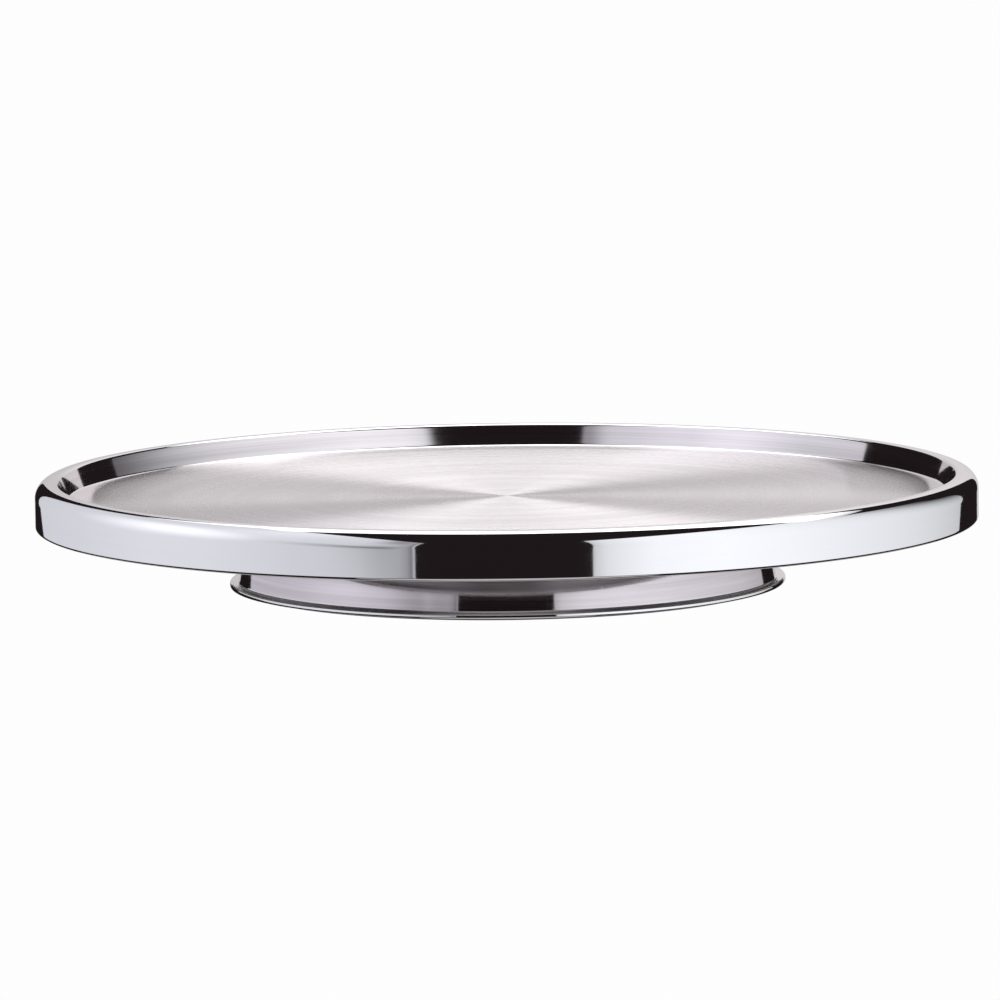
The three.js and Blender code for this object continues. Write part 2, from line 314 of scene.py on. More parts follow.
class Graph:
    """A short way to place and link the nodes of one node tree."""

    def __init__(self, tree: Tree) -> None:
        """Empties the tree."""
        self.tree = tree
        tree.nodes.clear()

    def feed(self, socket: Socket, value: Value) -> None:
        """Links a socket into an input, or sets a constant on it.

        Args:
            socket: The input.
            value: An output socket, a number or a tuple.
        """
        if isinstance(value, Socket):
            self.tree.links.new(value, socket)
        else:
            socket.default_value = value

    def add(self, kind: str, inputs: dict[str | int, Value] | None = None, **settings: object) -> Node:
        """Places a node.

        Args:
            kind: Its type name.
            inputs: Values by name or number.
            **settings: Its properties.

        Returns:
            The node.
        """
        node = self.tree.nodes.new(kind)
        for key, value in settings.items():
            setattr(node, key, value)
        for key, value in (inputs or {}).items():
            self.feed(node.inputs[key], value)
        return node

    def math(self, operation: str, *values: Value) -> Socket:
        """One Math node's result."""
        node = self.add("ShaderNodeMath", operation=operation)
        for socket, value in zip(node.inputs, values, strict=False):
            self.feed(socket, value)
        return node.outputs[0]

    def mix(self, factor: Value, first: Value, second: Value, blend: str = "MIX") -> Socket:
        """Mixes two colours.

        Args:
            factor: Share of the second.
            first: First colour.
            second: Second colour.
            blend: Way of mixing.

        Returns:
            The colour.
        """
        node = self.add("ShaderNodeMix", data_type="RGBA", blend_type=blend)
        for number, value in ((0, factor), (6, first), (7, second)):
            self.feed(node.inputs[number], rgba(value) if isinstance(value, tuple) else value)
        return node.outputs[2]

    def spread(self, value: Value, low: float, high: float, to_low: Value = 0.0, to_high: Value = 1.0) -> Socket:
        """A smooth step of a value from one range to another.

        Args:
            value: The value.
            low: Where the step starts.
            high: Where it ends.
            to_low: Result below the step.
            to_high: Result above it.

        Returns:
            The result, clamped.
        """
        inputs = {"Value": value, "From Min": low, "From Max": high, "To Min": to_low, "To Max": to_high}
        return self.add("ShaderNodeMapRange", inputs, interpolation_type="SMOOTHSTEP").outputs["Result"]

    def noise(self, vector: Value, scale: Value, detail: float, w: Value | None = None) -> Socket:
        """Noise in three dimensions, or in four when w is given.

        Args:
            vector: Where it is read.
            scale: Scale of the noise.
            detail: Octaves.
            w: Fourth coordinate.

        Returns:
            The value, about 0.5.
        """
        inputs = {"Vector": vector, "Scale": scale, "Detail": detail} | ({} if w is None else {"W": w})
        return self.add("ShaderNodeTexNoise", inputs, noise_dimensions="3D" if w is None else "4D").outputs["Fac"]

    def ramp(self, value: Value, stops: Sequence[Pair]) -> Socket:
        """A tone for each value, straight between the stops.

        Args:
            value: The value.
            stops: Places from 0 to 1 with their tones.

        Returns:
            The tone.
        """
        node = self.add("ShaderNodeValToRGB", {0: value})
        elements = node.color_ramp.elements
        for place, _ in stops[1:-1]:
            elements.new(place)
        for element, (place, tone) in zip(elements, stops, strict=True):
            element.position, element.color = place, (tone, tone, tone, 1.0)
        return node.outputs["Color"]

    def split(self, vector: Value) -> tuple[Socket, Socket, Socket]:
        """The three components of a vector."""
        node = self.add("ShaderNodeSeparateXYZ", {0: vector})
        return node.outputs[0], node.outputs[1], node.outputs[2]

    def join(self, x: Value, y: Value, z: Value) -> Socket:
        """A vector from three components."""
        return self.add("ShaderNodeCombineXYZ", {0: x, 1: y, 2: z}).outputs[0]


def rgba(colour: Sequence[float]) -> tuple[float, float, float, float]:
    """A colour with full opacity."""
    return (colour[0], colour[1], colour[2], 1.0)


def new_material(name: str) -> tuple[Material, Graph]:
    """A material and its empty graph."""
    made = bpy.data.materials.new(name)
    made.use_nodes = True
    return made, Graph(made.node_tree)


def new_group(name: str, inputs: dict[str, float], outputs: Sequence[str]) -> tuple[Graph, Node]:
    """An empty shader node group with float sockets.

    Args:
        name: Its name.
        inputs: Its inputs with their defaults.
        outputs: Its outputs.

    Returns:
        Its graph and its input node.
    """
    tree = bpy.data.node_groups.new(name, "ShaderNodeTree")
    for key, default in inputs.items():
        tree.interface.new_socket(key, in_out="INPUT", socket_type="NodeSocketFloat").default_value = default
    for key in outputs:
        tree.interface.new_socket(key, in_out="OUTPUT", socket_type="NodeSocketFloat")
    graph = Graph(tree)
    return graph, graph.add("NodeGroupInput")


class Effects:
    """Node groups that several finishes share, each built once."""

    def __init__(self) -> None:
        """Builds the groups."""
        self.turning = self._turning()
        self.handling = self._handling()
        self.grain = self._grain()

    @staticmethod
    def _turning() -> Tree:
        """Marks of a lathe: noise over (radius, height, cos a, sin a), long round the axis.

        Returns:
            The group. Fine is hair lines, and Broad is slow bands of tone.
        """
        inputs = {"Lines per metre": 2500.0, "Bands per metre": 160.0, "Breaks": 2.0}
        g, given = new_group("Turning marks", inputs, ("Fine", "Broad"))
        x, y, z = g.split(g.add("ShaderNodeTexCoord").outputs["Object"])
        radius = g.math("SQRT", g.math("ADD", g.math("MULTIPLY", x, x), g.math("MULTIPLY", y, y)))
        safe = g.math("MAXIMUM", radius, 1e-5)
        cos, sin = (g.math("MULTIPLY", g.math("DIVIDE", side, safe), given.outputs["Breaks"]) for side in (x, y))
        found = []
        for key, detail in (("Lines per metre", 3.0), ("Bands per metre", 2.0)):
            rate = given.outputs[key]
            place = g.join(g.math("MULTIPLY", radius, rate), g.math("MULTIPLY", z, rate), cos)
            found.append(g.noise(place, 1.0, detail, sin))
        g.add("NodeGroupOutput", {"Fine": found[0], "Broad": found[1]})
        return g.tree

    @staticmethod
    def _handling() -> Tree:
        """Traces of use: soft patches, and thin scratches where slow noise crosses its middle value.

        Returns:
            The group, with Smudge and Scratch from 0 to 1.
        """
        g, given = new_group("Handling", {"Scale": 1.0}, ("Smudge", "Scratch"))
        place = g.add("ShaderNodeTexCoord").outputs["Object"]
        scaled = g.add("ShaderNodeVectorMath", {0: place}, operation="SCALE")
        g.feed(scaled.inputs["Scale"], given.outputs["Scale"])
        patches = g.noise(scaled.outputs[0], 26.0, 3.0)
        smudge = g.spread(patches, 0.42, 0.72)
        slow = g.noise(scaled.outputs[0], 55.0, 1.0)
        near = g.math("ABSOLUTE", g.math("SUBTRACT", slow, 0.5))
        where = g.spread(g.noise(scaled.outputs[0], 90.0, 0.0), 0.55, 0.62)
        scratch = g.math("MULTIPLY", g.spread(near, 0.0, 0.0016, 1.0, 0.0), where)
        g.add("NodeGroupOutput", {"Smudge": smudge, "Scratch": scratch})
        return g.tree

    @staticmethod
    def _grain() -> Tree:
        """Fine even grain for plating and plastics: two sizes of noise.

        Returns:
            The group. Grain is fine and Mottle is coarse.
        """
        g, given = new_group("Grain", {"Grains per metre": 4000.0, "Mottle per metre": 300.0}, ("Grain", "Mottle"))
        place = g.add("ShaderNodeTexCoord").outputs["Object"]
        fine = g.noise(place, given.outputs["Grains per metre"], 2.0)
        coarse = g.noise(place, given.outputs["Mottle per metre"], 3.0)
        g.add("NodeGroupOutput", {"Grain": fine, "Mottle": coarse})
        return g.tree


# ---- finishes


@dataclass(frozen=True)
class SpunSteel:
    """Steel worked on a lathe, with marks that run round the axis."""

    name: str
    colour: Colour
    roughness: float
    line_shade: float
    band_shade: float
    roughness_swing: float
    line_height: float
    smudge: float
    scratch: float = 0.1
    lines: float = 1500.0
    bands: float = 300.0
    breaks: float = 3.0
    anisotropy: float = 0.0
    mottle: float = 0.0
    smoothest: float = 0.015

    def material(self, effects: Effects) -> Material:
        """Builds the material.

        Args:
            effects: The shared node groups.

        Returns:
            The material.
        """
        made, g = new_material(self.name)
        rates = {"Lines per metre": self.lines, "Bands per metre": self.bands, "Breaks": self.breaks}
        marks = g.add("ShaderNodeGroup", rates, node_tree=effects.turning)
        use = g.add("ShaderNodeGroup", node_tree=effects.handling)
        grain = g.add("ShaderNodeGroup", node_tree=effects.grain)
        fine, broad, mottle = (g.math("SUBTRACT", value, 0.5) for value in (*marks.outputs, grain.outputs["Mottle"]))
        shade: Value = 1.0
        for value, swing in ((fine, self.line_shade), (broad, self.band_shade), (mottle, self.mottle)):
            shade = g.math("MULTIPLY_ADD", value, 2 * swing, shade)
        colour = g.mix(1.0, self.colour, g.join(shade, shade, shade), "MULTIPLY")
        rough: Value = self.roughness
        swing, (smudge, scratch) = self.roughness_swing, use.outputs
        for value, gain in ((fine, swing), (broad, swing), (smudge, self.smudge), (scratch, self.scratch)):
            rough = g.math("MULTIPLY_ADD", value, gain, rough)
        rough = g.math("MAXIMUM", rough, self.smoothest)
        bump = g.add("ShaderNodeBump", {"Height": marks.outputs["Fine"], "Strength": 1.0, "Distance": self.line_height})
        look = {"Base Color": colour, "Roughness": rough, "Metallic": 1.0, "Normal": bump.outputs["Normal"]}
        shader = g.add("ShaderNodeBsdfPrincipled", look)
        if self.anisotropy:
            shader.inputs["Anisotropic"].default_value = self.anisotropy
            g.feed(shader.inputs["Tangent"], self._across_the_marks(g))
        g.add("ShaderNodeOutputMaterial", {"Surface": shader.outputs[0]})
        return made

    @staticmethod
    def _across_the_marks(g: Graph) -> Socket:
        """Direction across the marks: the way round the axis, (-y, x, 0), crossed with the normal.

        Args:
            g: Graph of the material.

        Returns:
            The direction in the world's frame.
        """
        place = g.add("ShaderNodeTexCoord")
        x, y, _ = g.split(place.outputs["Object"])
        round_axis = g.join(g.math("MULTIPLY", y, -1.0), x, 0.0)
        across = g.add("ShaderNodeVectorMath", {0: round_axis, 1: place.outputs["Normal"]}, operation="CROSS_PRODUCT")
        frames = {"vector_type": "VECTOR", "convert_from": "OBJECT", "convert_to": "WORLD"}
        turned = g.add("ShaderNodeVectorTransform", {0: across.outputs[0]}, **frames)
        return g.add("ShaderNodeVectorMath", {0: turned.outputs[0]}, operation="NORMALIZE").outputs[0]


@dataclass(frozen=True)
class Moulded:
    """A moulded plastic or rubber with an even grain."""

    name: str
    colour: Colour
    pale: Colour
    roughness: float
    specular: float = 0.5
    grains: float = 3000.0
    grain_height: float = 8e-6

    def material(self, effects: Effects) -> Material:
        """Builds the material.

        Args:
            effects: The shared node groups.

        Returns:
            The material.
        """
        made, g = new_material(self.name)
        grain = g.add("ShaderNodeGroup", {"Grains per metre": self.grains}, node_tree=effects.grain)
        use = g.add("ShaderNodeGroup", node_tree=effects.handling)
        fine, mottle = grain.outputs
        dusty = g.math("MULTIPLY", use.outputs["Smudge"], 0.5)
        colour = g.mix(g.math("MULTIPLY_ADD", mottle, 0.5, dusty), self.colour, self.pale)
        rough = g.math("MULTIPLY_ADD", fine, 0.15, self.roughness - 0.07)
        bump = g.add("ShaderNodeBump", {"Height": fine, "Strength": 1.0, "Distance": self.grain_height})
        look = {"Base Color": colour, "Roughness": rough, "Specular IOR Level": self.specular}
        shader = g.add("ShaderNodeBsdfPrincipled", look | {"Normal": bump.outputs["Normal"]})
        g.add("ShaderNodeOutputMaterial", {"Surface": shader.outputs[0]})
        return made


class Finish(Enum):
    """Every finish on the turntable."""

    BRUSHED_FLOOR = SpunSteel(
        "Brushed floor", (0.89, 0.865, 0.87), 0.27, anisotropy=1.0, bands=150, breaks=0.8,
        line_shade=0.05, band_shade=0.13, roughness_swing=0.04, line_height=0.12e-6, smudge=0.0, scratch=0.0,
    )
    BRUSHED_WALL = SpunSteel(
        "Brushed wall", (0.84, 0.80, 0.815), 0.06, anisotropy=0.30, lines=2600, bands=600, breaks=0.9,
        line_shade=0.10, band_shade=0.26, roughness_swing=0.04, line_height=0.04e-6, smudge=0.01, scratch=0.03,
    )
    POLISHED_RIM = SpunSteel(
        "Polished rim", (0.90, 0.90, 0.91), 0.035, bands=400, breaks=1.2,
        line_shade=0.01, band_shade=0.015, roughness_swing=0.02, line_height=0.02e-6, smudge=0.008, scratch=0.03,
    )
    SATIN_UNDERSIDE = SpunSteel(
        "Satin underside", (0.74, 0.73, 0.735), 0.34, anisotropy=0.7, lines=1800, bands=140, breaks=2.4,
        line_shade=0.06, band_shade=0.06, roughness_swing=0.08, line_height=0.6e-6, smudge=0.05,
    )
    POLISHED_BASE = SpunSteel(
        "Polished base", (0.69, 0.645, 0.67), 0.055, lines=2400, bands=500, breaks=1.1,
        line_shade=0.08, band_shade=0.30, roughness_swing=0.07, line_height=0.06e-6, smudge=0.02, scratch=0.05,
    )
    ZINC_PLATE = SpunSteel(
        "Zinc plate", (0.66, 0.67, 0.69), 0.32, lines=900, bands=120, line_shade=0.03,
        band_shade=0.05, roughness_swing=0.06, line_height=0.3e-6, smudge=0.08, mottle=0.12,
    )
    SCREW_STEEL = SpunSteel(
        "Screw steel", (0.62, 0.62, 0.63), 0.27, line_shade=0.04,
        band_shade=0.05, roughness_swing=0.08, line_height=0.3e-6, smudge=0.08, mottle=0.10,
    )
    BALL_STEEL = SpunSteel(
        "Ball steel", (0.84, 0.85, 0.87), 0.05, breaks=2.0, line_shade=0.01,
        band_shade=0.02, roughness_swing=0.02, line_height=0.02e-6, smudge=0.05, mottle=0.03,
    )
    NYLON = Moulded("Natural nylon", (0.80, 0.77, 0.69), (0.90, 0.88, 0.83), 0.42)
    RUBBER = Moulded(
        "Black rubber", (0.018, 0.018, 0.019), (0.055, 0.054, 0.053), 0.72,
        specular=0.35, grains=2200.0, grain_height=14e-6,
    )


class Wardrobe:
    """Makes each material once and dresses the pieces."""

    def __init__(self) -> None:
        """Builds the shared effects and every material."""
        effects = Effects()
        self.made = {finish: finish.value.material(effects) for finish in Finish}

    def dress(self, obj: Piece, body: str, node: str, slot: str, *finishes: Finish, crease: float = 32.0) -> None:
        """Gives a piece its materials and ties it to the frame.

        Args:
            obj: The piece.
            body: Body that it rides on.
            node: CAD node that it stands for.
            slot: Not used.
            *finishes: Its finishes, by index.
            crease: Angle in degrees past which an edge is sharp.
        """
        obj.data.set_sharp_from_angle(angle=math.radians(crease))
        for finish in finishes:
            obj.data.materials.append(self.made[finish])
        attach(obj, body)
        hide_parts(node)
        log.info("%s: %d faces on %s", obj.name, len(obj.data.polygons), body)


# ---- tray


@dataclass
class Tray:
    """The spun tray: floor, inner wall, crown, skirt and folded edge."""

    wardrobe: Wardrobe
    sheet: float = 1.0
    rim_rise: float = 7.2
    skirt_depth: float = 15.1
    rim_width: float = 7.55
    crown_outer_radius: float = 5.2
    crown_inner_radius: float = 1.3
    inner_draft: float = 20.0
    floor_fillet: float = 0.8
    hem_height: float = 4.0
    first_ring: float = 2.0
    floor_margin: float = 0.4
    wall_margin: float = 0.15
    skirt_margin: float = 0.3
    steps: int = 480

    def section(self) -> tuple[Rows, Rows]:
        """Outline of the sheet and the finish of each strip.

        Both faces share their arc centres, so the sheet is even. A margin is a straight strip beside an arc.

        Returns:
            (radius, height) rows, and the material index after each.
        """
        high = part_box("tray")[1]
        outer, crown = high.x / MM, high.z / MM
        t, draft = self.sheet, self.inner_draft
        floor, skirt = crown - self.rim_rise, crown - self.skirt_depth
        sin, cos = math.sin(math.radians(draft)), math.cos(math.radians(draft))
        lean = sin / cos
        ri, ro, rf = self.crown_inner_radius, self.crown_outer_radius, self.floor_fillet
        inner = (outer - self.rim_width + ri, crown - ri)
        shoulder = (outer - ro, crown - ro)
        top_r, top_z = inner[0] - ri * cos, inner[1] + ri * sin
        foot_z = floor + rf - rf * sin
        foot_r = top_r - lean * (top_z - foot_z)
        fillet = (foot_r - rf * cos, floor + rf)
        edge, hold = fillet[0] - self.floor_margin, self.wall_margin
        disc = [np.array([[0.0, floor]]), run((self.first_ring, floor), (edge, floor), 24)]
        wall = run((foot_r + hold * lean, foot_z + hold), (top_r - hold * lean, top_z - hold), 6)
        rim = [
            arc(inner, ri, 180 - draft, 90, 20),
            arc(shoulder, ro, 90, 0, 36),
            run((outer, shoulder[1] - self.skirt_margin), (outer, skirt + t + self.skirt_margin), 5),
            arc((outer - t, skirt + t), t, 0, -180, 20),
        ]
        under = [
            np.array([[outer - 2 * t, skirt + self.hem_height], [outer - t, skirt + self.hem_height]]),
            arc(shoulder, ro - t, 0, 90, 20),
            arc(inner, ri - t, 90, 180 - draft, 10),
            arc(fillet, rf + t, -draft, -90, 14),
            run((edge, floor - t), (self.first_ring, floor - t), 24),
            np.array([[0.0, floor - t]]),
        ]
        parts = [chain(*disc), arc(fillet, rf, -90, -draft, 16), wall, chain(*rim), chain(*under)]
        bands = np.repeat([0, 1, 3, 1, 2], [len(part) for part in parts])
        return np.concatenate(parts), bands

    def build(self) -> None:
        """Makes the tray in its four finishes."""
        section, bands = self.section()
        obj = spin("tray_sheet", section, self.steps, bands)
        finishes = (Finish.BRUSHED_FLOOR, Finish.POLISHED_RIM, Finish.SATIN_UNDERSIDE, Finish.BRUSHED_WALL)
        self.wardrobe.dress(obj, "turntable", "tray", "polished_steel", *finishes)


# ---- base


@dataclass
class Base:
    """The spun base: deck, leaning wall and folded lip, with the rubber ring inside its foot."""

    wardrobe: Wardrobe
    sheet: float = 0.8
    lip_width: float = 3.0
    wall_taper: float = 9.5
    lip_fillet: float = 0.7
    lip_squareness: float = 3.0
    shoulder_radius: float = 3.0
    deck_hole_radius: float = 9.0
    screw_hole_radius: float = 2.25
    ring_width: float = 3.4
    ring_gap: float = 0.05
    ring_ribs: int = 4
    rib_depth: float = 0.22
    ring_corner: float = 0.25
    ring_chamfer: float = 0.3
    deck_margin: float = 0.3
    wall_margin: float = 0.2
    steps: int = 384
    ring_steps: int = 256

    def __post_init__(self) -> None:
        """Reads the heights and the outer radius from the frame."""
        low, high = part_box("base_shell")
        self.outer, self.lip, self.deck = high.x / MM, low.z / MM, high.z / MM
        self.lip_top = self.lip + 2 * self.sheet
        self.lean = math.tan(math.radians(self.wall_taper))

    def wall(self, height: float) -> float:
        """Radius of the wall's outer face at a height: foot radius - tan(taper) * (height - top of the lip)."""
        return self.outer - self.lip_width - self.lean * (height - self.lip_top)

    def shell_section(self) -> tuple[Rows, Rows]:
        """Outline of the shell and the finish of each strip.

        Returns:
            (radius, height) rows, and the material index after each.
        """
        t, taper = self.sheet, self.wall_taper
        sin, cos = math.sin(math.radians(taper)), math.cos(math.radians(taper))
        rs, rf = self.shoulder_radius, self.lip_fillet
        shoulder_z = self.deck - rs
        shoulder = (self.wall(shoulder_z + rs * sin) - rs * cos, shoulder_z)
        fillet_z = self.lip_top + rf
        fillet = (self.wall(fillet_z - rf * sin) + rf * cos, fillet_z)
        top, foot = shoulder_z + rs * sin - self.wall_margin, fillet_z - rf * sin + self.wall_margin
        hole, edge, inside_z = self.deck_hole_radius, shoulder[0] - self.deck_margin, self.deck - t
        outside = chain(
            run((hole, self.deck), (edge, self.deck), 8),
            arc(shoulder, rs, 90, taper, 20),
            run((self.wall(top), top), (self.wall(foot), foot), 5),
        )
        lip = chain(arc(fillet, rf, 180 + taper, 270, 16), self.lip_edge())
        inside = chain(
            arc(fillet, rf + t, 270, 180 + taper, 12),
            arc(shoulder, rs - t, taper, 90, 14),
            run((edge, inside_z), (hole, inside_z), 8),
        )
        bands = np.repeat([0, 2, 1], [len(outside), len(lip), len(inside)])
        return np.concatenate([outside, lip, inside]), bands

    def lip_edge(self) -> Rows:
        """Outer edge of the folded lip, a half circle pushed out until |x|^n + |y|^n = sheet^n.

        Returns:
            (radius, height) rows from the top of the lip down.
        """
        t, n = self.sheet, self.lip_squareness
        circle = arc((0.0, 0.0), 1.0, 90, -90, 28)
        reach = t / (np.abs(circle) ** n).sum(axis=1) ** (1 / n)
        return circle * reach[:, None] + np.array([self.outer - t, self.lip + t])

    def ring_section(self) -> Rows:
        """Outline of the rubber ring, whose sole is depth * (1 - cos(2 pi k u)) / 2 high, u from 0 to 1.

        Returns:
            (radius, height) rows.
        """
        inset = self.sheet / math.cos(math.radians(self.wall_taper)) + self.ring_gap
        top, bend = heights("non_slip_ring")[1], self.lip_top + self.lip_fillet
        outer = self.wall(bend) - inset
        inner = outer - self.ring_width
        corner, chamfer = self.ring_corner, self.ring_chamfer
        u = np.linspace(0, 1, 12 * self.ring_ribs + 1)
        ribs = self.rib_depth * (1 - np.cos(2 * np.pi * self.ring_ribs * u)) / 2
        sole = np.stack([inner + corner + u * (self.ring_width - 2 * corner), ribs], axis=1)
        sides = chain(
            arc((outer - corner, corner), corner, -90, 0, 4),
            np.array([[outer, bend], [self.wall(top - chamfer) - inset, top - chamfer]]),
            np.array([[self.wall(top) - inset - chamfer, top], [inner + chamfer, top], [inner, top - chamfer]]),
            arc((inner + corner, corner), corner, 180, 270, 4),
        )
        return chain(sole, sides[:-1])

    def build(self) -> None:
        """Makes the shell with its screw holes, and the ring."""
        section, bands = self.shell_section()
        shell = spin("base_shell_sheet", section, self.steps, bands)
        cut(shell, drills(LOWER_SCREWS, self.screw_hole_radius, self.deck - self.sheet, self.deck))
        finishes = (Finish.POLISHED_BASE, Finish.SATIN_UNDERSIDE, Finish.POLISHED_RIM)
        self.wardrobe.dress(shell, "base", "base_shell", "satin_steel", *finishes)
        ring = spin("rubber_ring", self.ring_section(), self.ring_steps)
        self.wardrobe.dress(ring, "base", "non_slip_ring", "rubber", Finish.RUBBER)


# ---- bearing


@dataclass
class Bearing:
    """The thrust bearing: two grooved plates, the cage, the balls and the backing disc."""

    wardrobe: Wardrobe
    ball_diameter: float = 5.5
    ball_count: int = 16
    track_radius: float = 46.0
    groove_slack: float = 0.15
    ball_gap: float = 0.05
    pocket_gap: float = 0.25
    lower_radius: float = 60.0
    upper_radius: float = 72.0
    backing_radius: float = 80.0
    window_radius: float = 10.0
    lower_bore: float = 4.03
    upper_bore: float = 5.49
    cage_margin: float = 3.2
    tapped_radius: float = 2.08
    plain_radius: float = 2.25
    plate_edge: float = 0.22
    cage_edge: float = 0.3
    ball_crease: float = 60.0
    steps: int = 256

    def groove(self, face: float, side: int) -> Rows:
        """Section of a ball groove: an arc a little wider than the ball.

        Args:
            face: Height of the face that it is cut in.
            side: -1 under the balls and 1 over them.

        Returns:
            (radius, height) rows from its inner edge to its outer one.
        """
        low, high = heights("ball_1")
        ball = self.ball_diameter / 2
        radius = ball + self.groove_slack
        centre = (low + high) / 2 + side * (ball + self.ball_gap) - side * radius
        half = math.degrees(math.acos(abs(face - centre) / radius))
        return arc((self.track_radius, centre), radius, side * (90 + half), side * (90 - half), 14)

    def plates(self) -> None:
        """Makes both grooved plates and the backing disc, with their bores and holes."""
        low, high = heights("lower_bearing_plate")
        inner, outer = self.lower_bore, self.lower_radius
        rounded = eased([(inner, high), (inner, low), (outer, low), (outer, high)], self.plate_edge)
        lower = chain(rounded, self.groove(high, -1)[::-1])
        low, high = heights("upper_bearing_plate")
        inner, outer = self.upper_bore, self.upper_radius
        rounded = eased([(outer, low), (outer, high), (inner, high), (inner, low)], self.plate_edge)
        upper = chain(rounded, self.groove(low, 1))
        low, high = heights("backing_plate")
        inner, outer = self.window_radius, self.backing_radius
        backing = eased([(inner, low), (outer, low), (outer, high), (inner, high)], self.plate_edge)

        for name, body, node, section, screws, radius in (
            ("lower_race", "base", "lower_bearing_plate", lower, LOWER_SCREWS, self.tapped_radius),
            ("upper_race", "turntable", "upper_bearing_plate", upper, UPPER_SCREWS, self.plain_radius),
            ("backing_disc", "turntable", "backing_plate", backing, UPPER_SCREWS, self.tapped_radius),
        ):
            obj = cut(spin(name, section, self.steps), drills(screws, radius, *heights(node)))
            self.wardrobe.dress(obj, body, node, "plated_steel", Finish.ZINC_PLATE)

    def cage(self) -> None:
        """Makes the nylon cage: a flat ring with a round pocket for each ball."""
        low, high = heights("ball_cage")
        pocket = self.ball_diameter / 2 + self.pocket_gap
        inner, outer = (self.track_radius + side * (pocket + self.cage_margin) for side in (-1, 1))
        rounded = eased([(inner, low), (outer, low), (outer, high), (inner, high)], self.cage_edge)
        places = circle_of_places(self.ball_count, self.track_radius, 0)
        ring = cut(spin("nylon_cage", rounded, self.steps), drills(places, pocket, low, high))
        self.wardrobe.dress(ring, "ball_cage", "ball_cage", "nylon", Finish.NYLON)

    def balls(self) -> None:
        """Makes the balls, each a half circle turned about its own upright line."""
        half_circle = arc((0.0, 0.0), self.ball_diameter / 2, -90, 90, 20)
        half_circle[[0, -1], 0] = 0.0
        for number, place in enumerate(circle_of_places(self.ball_count, self.track_radius, 0), start=1):
            node = f"ball_{number}"
            ball = placed(spin(f"bearing_ball_{number}", half_circle, 40), place, sum(heights(node)) / 2)
            self.wardrobe.dress(ball, node, node, "ball_steel", Finish.BALL_STEEL, crease=self.ball_crease)

    def build(self) -> None:
        """Makes every piece of the bearing."""
        self.plates()
        self.cage()
        self.balls()


# ---- fixings


